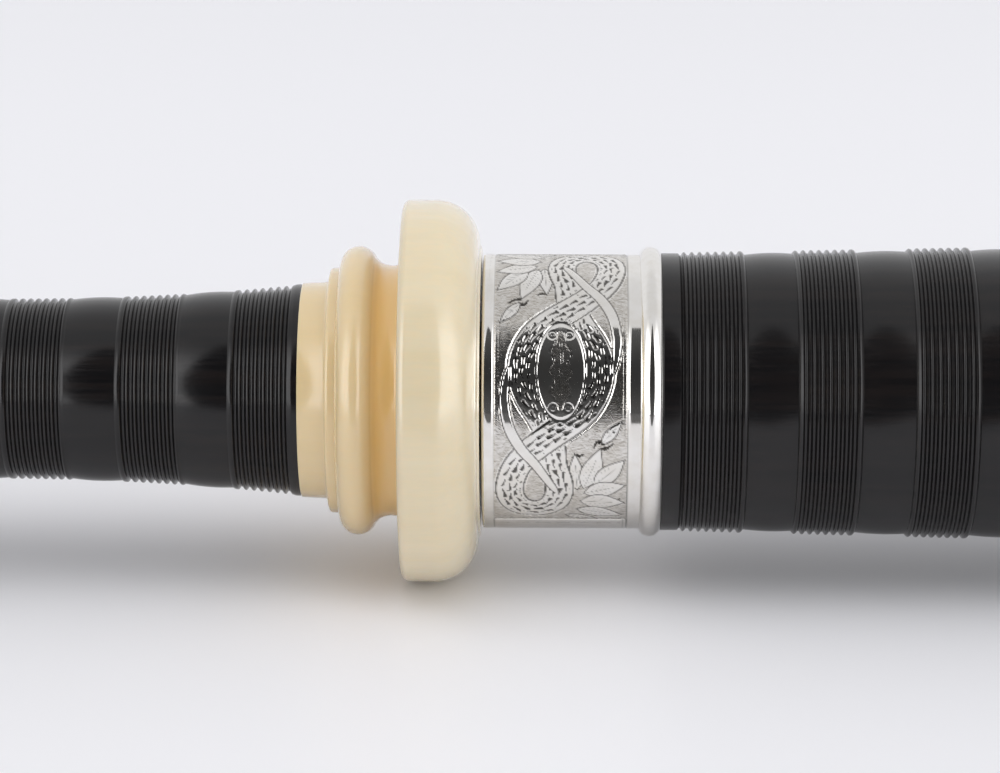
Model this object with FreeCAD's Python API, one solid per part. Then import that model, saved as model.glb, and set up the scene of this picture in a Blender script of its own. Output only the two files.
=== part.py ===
"""Tenor drone of a Highland bagpipe, with its stock and its reed, in millimetres.

The drone is a stack of turned pieces on one axis. X runs along that axis, from the bag end of the
stock at X = 0 to the open bell; Z is up and the drone lies on its side. From left to right:

  stock          blackwood socket that is tied into the bag, with a silver ferrule at its mouth
  lower section  blackwood, plugged into the stock by a hemped tenon, with an imitation ivory
                 projecting mount round its upper end and a long hemped tuning pin beyond that
  top section    blackwood, slid over the tuning pin, with a silver ferrule, a bell, a ring cap
                 and a bush in the bell's mouth
  reed           a moulded tube in the lower section's seat, with a beating tongue, a bridle that
                 sets the tongue's length and a tuning screw that closes the tube

Almost everything is a body of revolution, so a piece is a closed half section, drawn as stations
(x, r) joined by lines and arcs, and turned once round the X axis.
"""

import FreeCAD
import Part

import math
import os

# ---------------------------------------------------------------- driving dimensions
# Lengths along the drone, from the bag end of the stock.
STOCK_LENGTH = 92.0
LOWER_LENGTH = 116.0  # from the stock's mouth to the face of the projecting mount
TENON_LENGTH = 32.0
PIN_LENGTH = 62.0
JOINT_GAP = 0.2  # left between two sections when they are pushed home
TOP_LENGTH = 208.3

TENON_START = STOCK_LENGTH - TENON_LENGTH
LOWER_START = STOCK_LENGTH + JOINT_GAP
MOUNT_FACE = STOCK_LENGTH + LOWER_LENGTH
PIN_END = MOUNT_FACE + PIN_LENGTH
TOP_START = MOUNT_FACE + JOINT_GAP
TOP_END = TOP_START + TOP_LENGTH

# Air passages and the parts that slide in them (radii).
STOCK_BORE = 7.95
TENON_RADIUS = 7.70
TENON_CORE = 6.70  # under the hemp
LOWER_BORE = 4.0
REED_SEAT_BORE = 4.30
PIN_RADIUS = 8.0
PIN_CORE = 7.2  # under the hemp
CHAMBER_RADIUS = 8.25  # the tuning chamber that runs on the pin
CHAMBER_DEPTH = 74.0
TOP_BORE = 6.6
HEMP_CLEARANCE = 0.04
WOOD_END_CHAMFER = 0.6

# Silver ferrules: a tube on a wooden spigot, with a half-round bead soldered round its foot.
FERRULE_LENGTH = 20.35
FERRULE_RADIUS = 15.8
FERRULE_WALL = 0.9
FERRULE_LINE = 0.18  # depth of the two turned lines that frame the engraving
FERRULE_LINES = (1.35, 16.4)  # distances of those lines from the mouth
BEAD_WIDTH = 2.5
BEAD_RADIUS = 16.7
SPIGOT_RADIUS = FERRULE_RADIUS - FERRULE_WALL

# Combing and beading: groups of eight fine ridges with a plain barrel between groups.
COMB_PITCH = 0.91
COMB_RIDGES = 8
COMB_DEPTH = 0.32
COMB_WIDTH = COMB_PITCH * COMB_RIDGES
COMB_FLANK = 0.2  # of the pitch, on each side of a ridge
LAND = 2.25  # plain wood between a ferrule and its first comb
COMB_PERIOD = 13.08
SHORT_PERIOD = 12.8  # between the two combs nearest to the projecting mount, on either side
TOP_COMBS = 10
LOWER_COMBS = 6
STOCK_COMBS = 3

# Top section's outside.
TOP_ROOT_RADIUS = 16.03
TOP_TAPER = 0.0208  # radius gained per millimetre
CORD_BEAD_RADIUS = 20.8
CORD_GROOVE_RADIUS = 14.6
CORD_GROOVE = (369.0, 375.0)
BELL_RADIUS = 20.0
CAP_START = 403.0
CAP_SPIGOT = 17.0
CAP_RADIUS = 20.9
CAVITY_START = 386.0
CAVITY_RADIUS = 11.0
WOOD_TOP = TOP_END - 3.0

# Bush in the bell's mouth.
BUSH_LENGTH = 8.0
BUSH_CLEARANCE = 0.05
BUSH_FLANGE_RADIUS = 13.4
BUSH_FLANGE = 1.5
BUSH_BORE = 5.5

# Projecting mount.
MOUNT_START = 187.38
MOUNT_LAND = 0.66  # plain wood between the last comb and the mount
MOUNT_SPIGOT = 9.0
COLLAR_RADIUS = 12.4
RIM_RADIUS = 22.0
RIM_ROUND = 5.05

# Lower section's outside.
LOWER_WAIST = 10.4
LOWER_MOUTH_RADIUS = 12.2
SHOULDER_RADIUS = 14.6

# Reed.
REED_TIP = 10.0
REED_RADIUS = 3.7
REED_BORE = 2.3
REED_SEAT_DEPTH = 11.0
REED_SEAT_RADIUS = 4.05
BED_HEIGHT = 2.6  # the flat that the tongue beats on
BED = (16.0, 48.0)
SLOT = (19.0, 39.0)
SLOT_WIDTH = 2.6
TONGUE = (17.0, 43.0, 47.0)  # free end, start of the flat root, end of the root
TONGUE_WIDTH = 4.6
TONGUE_THICKNESS = 0.5
TONGUE_LIFT = 0.45
TONGUE_CLEARANCE = 0.03
RING_BORE = 3.93  # clears the tongue's corners
BRIDLE = (39.6, 42.6)
BINDING = (46.2, 49.8)
BINDING_RADIUS = 4.6
BRIDLE_RADIUS = 5.0
SCREW_SHANK = 2.25
SCREW_HEAD = 3.4
SCREW_HEAD_LENGTH = 2.4
SCREW_REACH = 6.0  # of the shank inside the tube
SEAL_THICKNESS = 1.1
SEAL_GAP = 0.8  # left before the seal meets the tube
SCREW_SLOT = (0.8, 1.0)  # width and depth

AXIS = FreeCAD.Vector(1, 0, 0)
ORIGIN = FreeCAD.Vector(0, 0, 0)


# ---------------------------------------------------------------- drawing and turning
class Outline:
    """A half section: stations (x, r) joined in order by straight lines and arcs."""

    def __init__(self, x, r):
        self.start = self.at = self.point(x, r)
        self.edges = []

    @staticmethod
    def point(x, r):
        return FreeCAD.Vector(x, 0, r)

    def line(self, x, r):
        there = self.point(x, r)
        if there.distanceToPoint(self.at) > 1e-6:
            self.edges.append(Part.LineSegment(self.at, there).toShape())
            self.at = there
        return self

    def arc(self, mid_x, mid_r, x, r):
        there = self.point(x, r)
        self.edges.append(Part.Arc(self.at, self.point(mid_x, mid_r), there).toShape())
        self.at = there
        return self

    def turned(self):
        """Closes the section and turns it once round the axis."""
        self.line(self.start.x, self.start.z)
        face = Part.Face(Part.Wire(self.edges))
        return solid(face.revolve(ORIGIN, AXIS, 360))


def solid(shape):
    """The shape's single solid, pointing outwards."""
    found = shape.Solids[0]
    if found.Volume < 0:
        found.reverse()
    return found


def ring(x0, x1, inner, outer, corner=0.0):
    """A plain ring, with its outer corners cut off by a small chamfer."""
    section = Outline(x0, inner).line(x0, outer - corner).line(x0 + corner, outer)
    return section.line(x1 - corner, outer).line(x1, outer - corner).line(x1, inner).turned()


def round_wire_ring(x0, x1, inner, outer):
    """A ring of round or half-round section, flat on the inside."""
    middle = (x0 + x1) / 2
    foot = inner + 0.15 * (outer - inner)
    section = Outline(x0, inner).line(x0, foot).arc(middle, outer, x1, foot)
    return section.line(x1, inner).turned()


def box(x0, x1, width, z0, z1):
    """A box on the drone's axis, between two stations and two heights."""
    return Part.makeBox(x1 - x0, width, z1 - z0, FreeCAD.Vector(x0, -width / 2, z0))


# ---------------------------------------------------------------- combing and beading
def comb(section, start, envelope):
    """Eight ridges with flat tops and V cuts between them."""
    flank = COMB_FLANK * COMB_PITCH
    for k in range(COMB_RIDGES):
        near = start + k * COMB_PITCH
        far = near + COMB_PITCH
        section.line(near + flank, envelope(near))
        section.line(far - flank, envelope(far))
        section.line(far, envelope(far) - COMB_DEPTH)
    return section


def barrel(section, end, envelope, sinks):
    """A plain crowned stretch. sinks says how far its start, crown and end lie under the ridges."""
    start = section.at.x
    crown = start + 0.55 * (end - start)
    section.line(start, envelope(start) - sinks[0])
    section.arc(crown, envelope(crown) - sinks[1], end, envelope(end) - sinks[2])
    return section.line(end, envelope(end) - COMB_DEPTH)


def comb_row(section, starts, envelope, sinks):
    """A comb at each of the starts along the wood, with a barrel between each pair."""
    section.line(starts[0], envelope(starts[0])).line(starts[0], envelope(starts[0]) - COMB_DEPTH)
    for start, following in zip(starts, starts[1:]):
        comb(section, start, envelope)
        barrel(section, following, envelope, sinks)
    return comb(section, starts[-1], envelope)


def top_envelope(x):
    """The ridge line of the top section widens evenly towards the bell."""
    return TOP_ROOT_RADIUS + TOP_TAPER * (x - TOP_START - FERRULE_LENGTH)


def lower_envelope(x):
    """The lower section has a waist, and flares at the projecting mount and a little at the stock."""
    to_mount = max(0.0, (x - 150.0) / (MOUNT_START - 150.0)) ** 2.2
    to_stock = max(0.0, (118.0 - x) / 18.0) ** 2
    return LOWER_WAIST + (LOWER_MOUTH_RADIUS - LOWER_WAIST) * to_mount + 1.1 * to_stock


def stock_envelope(x):
    """The stock swells very slightly towards its ferrule."""
    return 15.7 + 0.3 * x / STOCK_LENGTH


# ---------------------------------------------------------------- silver ferrules
def ferrule_band(mouth, step):
    """The engraved tube. step is 1 where the ferrule runs towards +X from its mouth, -1 otherwise."""
    edge = 0.35  # the mouth's rounded edge
    line_half = 0.14
    foot = mouth + step * FERRULE_LENGTH
    section = Outline(mouth, SPIGOT_RADIUS).line(mouth, FERRULE_RADIUS - edge)
    section.arc(
        mouth + step * 0.3 * edge, FERRULE_RADIUS - 0.3 * edge, mouth + step * edge, FERRULE_RADIUS
    )
    for distance in FERRULE_LINES:
        middle = mouth + step * distance
        section.line(middle - step * line_half, FERRULE_RADIUS)
        section.line(middle, FERRULE_RADIUS - FERRULE_LINE)
        section.line(middle + step * line_half, FERRULE_RADIUS)
    return section.line(foot, FERRULE_RADIUS).line(foot, SPIGOT_RADIUS).turned()


def ferrule_bead(mouth, step):
    """The half-round wire soldered round the foot of the tube."""
    foot = mouth + step * FERRULE_LENGTH
    start = foot - step * BEAD_WIDTH
    return round_wire_ring(min(start, foot), max(start, foot), FERRULE_RADIUS, BEAD_RADIUS)


# ---------------------------------------------------------------- stock
TIE_RADIUS = 15.3
TIE_GROOVE_RADIUS = 13.7
TIE_LENGTH = 15.0


def stock_body():
    spigot = STOCK_LENGTH - FERRULE_LENGTH
    last_comb = spigot - LAND - COMB_WIDTH
    starts = [last_comb - k * COMB_PERIOD for k in reversed(range(STOCK_COMBS))]
    first_comb = starts[0]
    section = Outline(0, STOCK_BORE).line(0, TIE_RADIUS).line(4.5, TIE_RADIUS)
    section.arc(7.5, TIE_GROOVE_RADIUS, 10.5, TIE_RADIUS).line(TIE_LENGTH, TIE_RADIUS)
    section.arc(16.6, 16.7, 18.2, TIE_RADIUS)  # the bead that stops the bag
    section.arc(24.0, stock_envelope(24.0) - 0.15, first_comb, stock_envelope(first_comb) - 0.4)
    comb_row(section, starts, stock_envelope, (0.45, 0.2, 0.4))
    section.line(spigot - LAND, stock_envelope(spigot) - 0.1)
    section.line(spigot, stock_envelope(spigot) - 0.1).line(spigot, SPIGOT_RADIUS)
    section.line(STOCK_LENGTH - 0.1, SPIGOT_RADIUS).line(STOCK_LENGTH - 0.1, STOCK_BORE)
    return section.turned()


# ---------------------------------------------------------------- lower section
TENON_HEMP = (TENON_START + 3.0, STOCK_LENGTH - 4.0)
PIN_HEMP = (PIN_END - 22.0, PIN_END - 3.0)


def lower_body():
    last_comb = MOUNT_START - MOUNT_LAND - COMB_WIDTH
    first_comb = last_comb - SHORT_PERIOD - (LOWER_COMBS - 2) * COMB_PERIOD
    starts = [first_comb + k * COMB_PERIOD for k in range(LOWER_COMBS - 1)] + [last_comb]
    seat_end = TENON_START + REED_SEAT_DEPTH + 0.5
    section = Outline(TENON_START, REED_SEAT_BORE).line(TENON_START, TENON_RADIUS - WOOD_END_CHAMFER)
    section.line(TENON_START + WOOD_END_CHAMFER, TENON_RADIUS).line(TENON_HEMP[0], TENON_RADIUS)
    section.line(TENON_HEMP[0], TENON_CORE).line(TENON_HEMP[1], TENON_CORE)
    section.line(TENON_HEMP[1], TENON_RADIUS).line(LOWER_START, TENON_RADIUS)
    # shoulder against the stock: a plain band, a bead and a cove up to the first comb
    section.line(LOWER_START, SHOULDER_RADIUS - 0.5).line(LOWER_START + 0.5, SHOULDER_RADIUS)
    section.line(LOWER_START + 3.2, SHOULDER_RADIUS).line(LOWER_START + 3.4, SHOULDER_RADIUS - 0.8)
    section.arc(LOWER_START + 5.2, SHOULDER_RADIUS - 0.1, LOWER_START + 7.0, SHOULDER_RADIUS - 1.4)
    cove_end = lower_envelope(first_comb) - 0.3
    section.arc(LOWER_START + 10.0, cove_end - 0.1, first_comb, cove_end)
    comb_row(section, starts, lower_envelope, (0.25, -0.05, 0.2))
    section.line(MOUNT_START - MOUNT_LAND, LOWER_MOUTH_RADIUS).line(MOUNT_START, LOWER_MOUTH_RADIUS)
    # spigot under the projecting mount, then the tuning pin
    section.line(MOUNT_START, MOUNT_SPIGOT).line(MOUNT_FACE - 0.4, MOUNT_SPIGOT)
    section.line(MOUNT_FACE - 0.4, PIN_RADIUS).line(PIN_HEMP[0], PIN_RADIUS)
    section.line(PIN_HEMP[0], PIN_CORE).line(PIN_HEMP[1], PIN_CORE)
    section.line(PIN_HEMP[1], PIN_RADIUS).line(PIN_END - WOOD_END_CHAMFER, PIN_RADIUS)
    section.line(PIN_END, PIN_RADIUS - WOOD_END_CHAMFER).line(PIN_END, LOWER_BORE)
    section.line(seat_end, LOWER_BORE).line(seat_end - 0.3, REED_SEAT_BORE)
    return section.turned()


def projecting_mount():
    """Collar, step, bead and cove, then the wide rim with one sharp and one well-rounded edge."""
    rim_start = 198.7
    corner = 0.7
    diagonal = math.sqrt(0.5)
    round_x = MOUNT_FACE - 0.25 - RIM_ROUND
    section = Outline(MOUNT_START, MOUNT_SPIGOT).line(MOUNT_START, COLLAR_RADIUS - 0.05)
    section.line(190.3, COLLAR_RADIUS + 0.1).line(190.65, 13.6)
    section.arc(190.75, 13.95, 191.1, 14.1).line(191.85, 14.15)
    # bead: half-round, between its foot on the step and the cove
    section.arc(193.9, 16.65, 195.75, 15.55)
    section.arc(196.3, 14.75, 197.6, 14.45).arc(198.2, 14.48, rim_start, 14.65)
    section.line(rim_start + 0.35, RIM_RADIUS - corner)
    section.arc(rim_start + 0.6, RIM_RADIUS - 0.18, rim_start + 1.2, RIM_RADIUS)
    section.line(round_x, RIM_RADIUS)
    section.arc(
        round_x + RIM_ROUND * diagonal,
        RIM_RADIUS - RIM_ROUND * (1 - diagonal),
        round_x + RIM_ROUND,
        RIM_RADIUS - RIM_ROUND,
    )
    return section.line(MOUNT_FACE, 15.6).line(MOUNT_FACE, MOUNT_SPIGOT).turned()


def tenon_hemp():
    return ring(*TENON_HEMP, TENON_CORE, STOCK_BORE - HEMP_CLEARANCE, 0.3)


def pin_hemp():
    return ring(*PIN_HEMP, PIN_CORE, CHAMBER_RADIUS - HEMP_CLEARANCE, 0.3)


# ---------------------------------------------------------------- top section
def top_body():
    spigot = TOP_START + FERRULE_LENGTH
    first_comb = spigot + LAND
    starts = [first_comb] + [
        first_comb + SHORT_PERIOD + k * COMB_PERIOD for k in range(TOP_COMBS - 1)
    ]
    comb_end = starts[-1] + COMB_WIDTH
    section = Outline(TOP_START + 0.1, CHAMBER_RADIUS).line(TOP_START + 0.1, SPIGOT_RADIUS)
    section.line(spigot, SPIGOT_RADIUS).line(spigot, top_envelope(spigot) - 0.1)
    comb_row(section, starts, top_envelope, (0.45, 0.2, 0.4))
    # shoulder, small bead and the big bead that the drone cord is tied under
    shoulder = top_envelope(comb_end) - 0.2
    section.line(comb_end, shoulder).arc(357.4, shoulder + 0.1, 358.8, shoulder + 0.6)
    section.line(359.1, shoulder + 0.1)
    section.arc(363.6, CORD_BEAD_RADIUS, 368.0, 17.4)
    section.line(368.2, 16.6).arc(368.5, 15.4, CORD_GROOVE[0], CORD_GROOVE_RADIUS)
    section.line(CORD_GROOVE[1], CORD_GROOVE_RADIUS)
    section.arc(375.6, 15.5, 376.4, 16.2).arc(377.3, 17.0, 378.4, 16.4).line(378.6, 15.9)
    # bell: a pear shape, widest a little way below the ring cap
    section.arc(387.0, 18.3, 394.5, BELL_RADIUS - 0.2)
    section.arc(399.0, BELL_RADIUS, CAP_START, BELL_RADIUS - 0.6)
    section.line(CAP_START, CAP_SPIGOT).line(WOOD_TOP, CAP_SPIGOT).line(WOOD_TOP, CAVITY_RADIUS)
    section.line(CAVITY_START + 2.0, CAVITY_RADIUS)
    section.arc(CAVITY_START + 0.6, CAVITY_RADIUS - 0.6, CAVITY_START, CAVITY_RADIUS - 2.0)
    section.line(CAVITY_START, TOP_BORE).line(TOP_START + CHAMBER_DEPTH + 1.0, TOP_BORE)
    section.line(TOP_START + CHAMBER_DEPTH, CHAMBER_RADIUS)
    return section.turned()


def ring_cap():
    """The ring of imitation ivory that guards the bell's rim, lipped over the wood's end."""
    edge = 1.6
    section = Outline(CAP_START, CAP_SPIGOT).line(CAP_START, CAP_RADIUS - 0.5)
    section.arc(CAP_START + 0.15, CAP_RADIUS - 0.15, CAP_START + 0.5, CAP_RADIUS)
    section.line(CAP_START + 3.0, CAP_RADIUS).line(CAP_START + 3.25, CAP_RADIUS - 0.3)
    section.line(CAP_START + 3.5, CAP_RADIUS).line(TOP_END - edge, CAP_RADIUS)
    section.arc(TOP_END - 0.3 * edge, CAP_RADIUS - 0.3 * edge, TOP_END, CAP_RADIUS - edge)
    section.line(TOP_END, 17.2).arc(TOP_END - 0.5, 16.2, TOP_END - 1.5, 15.6)
    section.line(WOOD_TOP, 15.4)
    return section.line(WOOD_TOP, CAP_SPIGOT).turned()


def bell_bush():
    """Flanged bush that narrows the bell's mouth to the sounding hole."""
    plug = CAVITY_RADIUS - BUSH_CLEARANCE
    face = WOOD_TOP + BUSH_CLEARANCE
    section = Outline(WOOD_TOP - BUSH_LENGTH, BUSH_BORE).line(WOOD_TOP - BUSH_LENGTH, plug)
    section.line(face, plug).line(face, BUSH_FLANGE_RADIUS)
    section.arc(face + 0.7 * BUSH_FLANGE, 12.9, face + BUSH_FLANGE, 11.8)
    section.line(face + BUSH_FLANGE, BUSH_BORE)
    return section.turned()


# ---------------------------------------------------------------- reed
def reed_body():
    """A moulded tube with a flat bed, a slot through the bed and a seat that plugs into the tenon."""
    seat_end = TENON_START + REED_SEAT_DEPTH
    section = Outline(REED_TIP, REED_BORE).line(REED_TIP, REED_RADIUS - 0.3)
    section.line(REED_TIP + 0.3, REED_RADIUS).line(57.0, REED_RADIUS).line(58.0, 4.6)
    section.line(TENON_START - 0.4, 4.6).line(TENON_START - 0.4, REED_SEAT_RADIUS)
    section.line(61.5, REED_SEAT_RADIUS).line(61.5, REED_RADIUS).line(69.5, REED_RADIUS)
    section.line(69.5, REED_SEAT_RADIUS).line(seat_end - 0.4, REED_SEAT_RADIUS)
    section.line(seat_end, REED_SEAT_RADIUS - 0.4).line(seat_end, REED_BORE)
    tube = section.turned()
    tube = tube.cut(box(*BED, 10.0, BED_HEIGHT, 6.0))
    return solid(tube.cut(box(*SLOT, SLOT_WIDTH, 0.0, 6.0)))


def reed_tongue():
    """A thin blade: a flat root on the bed, and a free length that curves up off it."""
    free_end, root, end = TONGUE
    bottom = BED_HEIGHT + TONGUE_CLEARANCE
    middle = (free_end + root) / 2

    def side(height):
        lifted = Part.Arc(
            FreeCAD.Vector(free_end, 0, height + TONGUE_LIFT),
            FreeCAD.Vector(middle, 0, height + 0.25 * TONGUE_LIFT),
            FreeCAD.Vector(root, 0, height),
        ).toShape()
        flat = Part.LineSegment(FreeCAD.Vector(root, 0, height), FreeCAD.Vector(end, 0, height))
        return [lifted, flat.toShape()]

    low, high = side(bottom), side(bottom + TONGUE_THICKNESS)
    ends = [
        Part.LineSegment(
            FreeCAD.Vector(x, 0, bottom + lift), FreeCAD.Vector(x, 0, bottom + lift + TONGUE_THICKNESS)
        ).toShape()
        for x, lift in ((free_end, TONGUE_LIFT), (end, 0.0))
    ]
    wire = Part.Wire(Part.__sortEdges__(low + high + ends))
    blade = Part.Face(wire).extrude(FreeCAD.Vector(0, TONGUE_WIDTH, 0))
    blade.translate(FreeCAD.Vector(0, -TONGUE_WIDTH / 2, 0))
    return solid(blade)


def tongue_binding():
    return ring(*BINDING, RING_BORE, BINDING_RADIUS, 0.2)


def reed_bridle():
    return round_wire_ring(*BRIDLE, RING_BORE, BRIDLE_RADIUS)


def reed_seat_hemp():
    return ring(61.5, 69.5, REED_RADIUS, REED_SEAT_BORE - HEMP_CLEARANCE, 0.15)


SEAL_END = REED_TIP - SEAL_GAP
SEAL_START = SEAL_END - SEAL_THICKNESS


def screw_seal():
    return round_wire_ring(SEAL_START, SEAL_END, SCREW_SHANK + 0.03, SCREW_HEAD - 0.2)


def tuning_screw():
    """A slotted screw that closes the tube and sets the reed's pitch by how far it reaches in."""
    head_end = SEAL_START - 0.03
    head_start = head_end - SCREW_HEAD_LENGTH
    section = Outline(head_start, 0).line(head_start, SCREW_HEAD - 0.4)
    section.line(head_start + 0.4, SCREW_HEAD).line(head_end, SCREW_HEAD)
    section.line(head_end, SCREW_SHANK).line(REED_TIP + SCREW_REACH - 0.3, SCREW_SHANK)
    section.line(REED_TIP + SCREW_REACH, SCREW_SHANK - 0.3).line(REED_TIP + SCREW_REACH, 0)
    width, depth = SCREW_SLOT
    slot = Part.makeBox(depth, width, 10.0, FreeCAD.Vector(head_start, -width / 2, -5.0))
    return solid(section.turned().cut(slot))


# ---------------------------------------------------------------- all the pieces
PIECES = {
    "stock_body": stock_body,
    "stock_ferrule_band": lambda: ferrule_band(STOCK_LENGTH, -1),
    "stock_ferrule_bead": lambda: ferrule_bead(STOCK_LENGTH, -1),
    "tenon_hemp": tenon_hemp,
    "lower_body": lower_body,
    "projecting_mount": projecting_mount,
    "pin_hemp": pin_hemp,
    "top_body": top_body,
    "top_ferrule_band": lambda: ferrule_band(TOP_START, 1),
    "top_ferrule_bead": lambda: ferrule_bead(TOP_START, 1),
    "ring_cap": ring_cap,
    "bell_bush": bell_bush,
    "reed_body": reed_body,
    "reed_tongue": reed_tongue,
    "tongue_binding": tongue_binding,
    "reed_bridle": reed_bridle,
    "reed_seat_hemp": reed_seat_hemp,
    "screw_seal": screw_seal,
    "tuning_screw": tuning_screw,
}

os.makedirs("parts", exist_ok=True)
for name, make in PIECES.items():
    piece = make()
    print(f"{name:20s} {piece.Volume:10.1f} mm3  valid {piece.isValid()}")
    piece.exportStep(f"parts/{name}.step")
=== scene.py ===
# %% [markdown]
# # A bagpipe tenor drone, turned, combed and engraved
#
# The drone is a stack of pieces turned on a lathe, so almost every surface here is a profile carried
# round one axis, the X axis. The CAD model gives the frame: it fixes every size, and its bodies move.
# This lesson keeps that frame as it is and lays finer surfaces and real finishes over it. Lengths in
# the profiles are in millimetres, as on a turner's drawing, and become metres when a mesh is made.

# %% The frame
import math

import bpy
import numpy as np
from mathutils import Matrix, Vector


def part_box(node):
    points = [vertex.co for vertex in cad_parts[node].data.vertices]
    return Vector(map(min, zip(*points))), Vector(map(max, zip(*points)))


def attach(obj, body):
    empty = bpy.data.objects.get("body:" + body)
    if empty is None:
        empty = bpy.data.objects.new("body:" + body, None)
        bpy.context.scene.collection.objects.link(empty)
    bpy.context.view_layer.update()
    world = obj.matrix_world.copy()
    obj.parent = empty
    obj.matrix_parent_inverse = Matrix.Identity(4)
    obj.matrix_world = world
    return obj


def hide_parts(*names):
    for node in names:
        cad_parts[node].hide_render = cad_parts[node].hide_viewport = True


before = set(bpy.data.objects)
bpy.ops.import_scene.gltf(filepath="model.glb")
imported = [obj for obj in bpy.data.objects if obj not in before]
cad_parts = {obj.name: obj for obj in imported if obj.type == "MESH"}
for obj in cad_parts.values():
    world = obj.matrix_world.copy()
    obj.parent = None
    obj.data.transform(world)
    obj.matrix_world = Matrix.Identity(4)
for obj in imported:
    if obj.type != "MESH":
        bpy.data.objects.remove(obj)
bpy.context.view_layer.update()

MM = 0.001

# %% [markdown]
# ## Camera
#
# The drone lies on its side and the camera looks across it, a little from above, with a long lens.
# A camera could be aimed with a constraint. A matrix built from three directions is used, because it
# says the aim outright: the view direction, the right hand and the up of the picture.

# %% Camera
AIM = Vector((210.1, 0.15, 0.48)) * MM  # what the middle of the picture shows
CAMERA_AT = Vector((217.0, -449.9, 142.7)) * MM

camera_data = bpy.data.cameras.new("camera")
camera_data.sensor_width = 36.0
camera_data.lens = 147.4  # a long lens, so the girth narrows little with distance
camera_data.clip_start = 0.01
camera = bpy.data.objects.new("camera", camera_data)
bpy.context.scene.collection.objects.link(camera)
toward = (AIM - CAMERA_AT).normalized()
right = toward.cross(Vector((0, 0, 1))).normalized()
up = right.cross(toward)
turn = Matrix((right, up, -toward)).transposed()
camera.matrix_world = Matrix.Translation(CAMERA_AT) @ turn.to_4x4()
bpy.context.scene.camera = camera
bpy.context.scene.view_settings.view_transform = "Standard"
print("camera distance (mm):", round((AIM - CAMERA_AT).length / MM, 1))


# %% [markdown]
# ## A short way to write materials
#
# Every finish below is a small graph of nodes. Writing each node by hand hides the idea under
# plumbing, so one small class makes nodes and links in one call. A number goes straight into a
# socket, and a socket goes in as a link.

# %% Node helper
class Graph:
    """The node tree of a material or world, with one-line calls that make and link nodes."""

    def __init__(self, owner):
        owner.use_nodes = True
        self.tree = owner.node_tree
        self.tree.nodes.clear()

    def put(self, socket, value):
        if isinstance(value, bpy.types.NodeSocket):
            self.tree.links.new(value, socket)
        else:
            socket.default_value = value

    def node(self, kind, inputs=None, **settings):
        made = self.tree.nodes.new("ShaderNode" + kind)
        for name, value in settings.items():
            setattr(made, name, value)
        for name, value in (inputs or {}).items():
            self.put(made.inputs[name], value)
        return made

    def math(self, operation, *values):
        made = self.node("Math", operation=operation)
        for socket, value in zip(made.inputs, values):
            self.put(socket, value)
        return made.outputs[0]

    def ramp(self, value, low, high, to_low=0.0, to_high=1.0, smooth=True):
        """value from low..high to to_low..to_high, held at the ends."""
        kind = "SMOOTHSTEP" if smooth else "LINEAR"
        made = self.node("MapRange", interpolation_type=kind)
        for socket, v in zip(made.inputs, (value, low, high, to_low, to_high)):
            self.put(socket, v)
        return made.outputs[0]

    def blend(self, factor, a, b):
        """A number between a and b."""
        return self.node("Mix", {0: factor, 2: a, 3: b}, data_type="FLOAT").outputs[0]

    def mix(self, factor, a, b):
        """A colour between a and b."""
        made = self.node("Mix", data_type="RGBA")
        for index, v in ((0, factor), (6, a), (7, b)):
            self.put(made.inputs[index], v)
        return made.outputs[2]

    def place(self, scale=(1, 1, 1)):
        """Object coordinates in millimetres, stretched by scale."""
        source = self.node("TexCoord").outputs["Object"]
        inputs = {"Vector": source, "Scale": tuple(s / MM for s in scale)}
        return self.node("Mapping", inputs).outputs[0]

    def noise(self, vector, scale, detail, roughness):
        inputs = {"Vector": vector, "Scale": scale, "Detail": detail, "Roughness": roughness}
        return self.node("TexNoise", inputs).outputs["Fac"]

    def bump(self, height, distance, strength, normal=None):
        """A normal from a height in units of distance, which is in millimetres."""
        inputs = {"Height": height, "Distance": distance * MM, "Strength": strength}
        if normal is not None:
            inputs["Normal"] = normal
        return self.node("Bump", inputs).outputs[0]

    def surface(self, colour, rough, **more):
        """The finished surface. more holds further sockets, with _ where a name has a space."""
        inputs = {"Base Color": colour, "Roughness": rough}
        inputs.update({name.replace("_", " "): value for name, value in more.items()})
        shader = self.node("BsdfPrincipled", inputs)
        self.tree.links.new(shader.outputs[0], self.node("OutputMaterial").inputs["Surface"])


def finish_of(name, make):
    """A new material whose graph is filled in by make(graph)."""
    material = bpy.data.materials.new(name)
    make(Graph(material))
    return material


# %% [markdown]
# ## Light
#
# Polished silver shows what stands round it, so the light is planned as what the metal sees: a
# white table in front, a pale cloth overhead and behind, bright screens at both sides, and a dark
# gap where the camera stands. The world paints that room by direction. Three soft lamps shape the
# shadow: a wide one overhead, a screen at the right, and a weak fill from the front. They aren't
# seen in the metal, as lamps behind a diffusing cloth aren't.

# %% World
SCREEN, BACK, TOP, DARK = 2.8, 0.86, 0.74, 0.036  # how bright each part of the room is
GAP_MIDDLE, GAP_HALF = math.radians(32.0), math.radians(40.3)  # the dark gap's elevations
GAP_WIDE = 0.56  # tangent of half the gap's width
BACKDROP = 0.84  # what the camera sees behind the table

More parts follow.
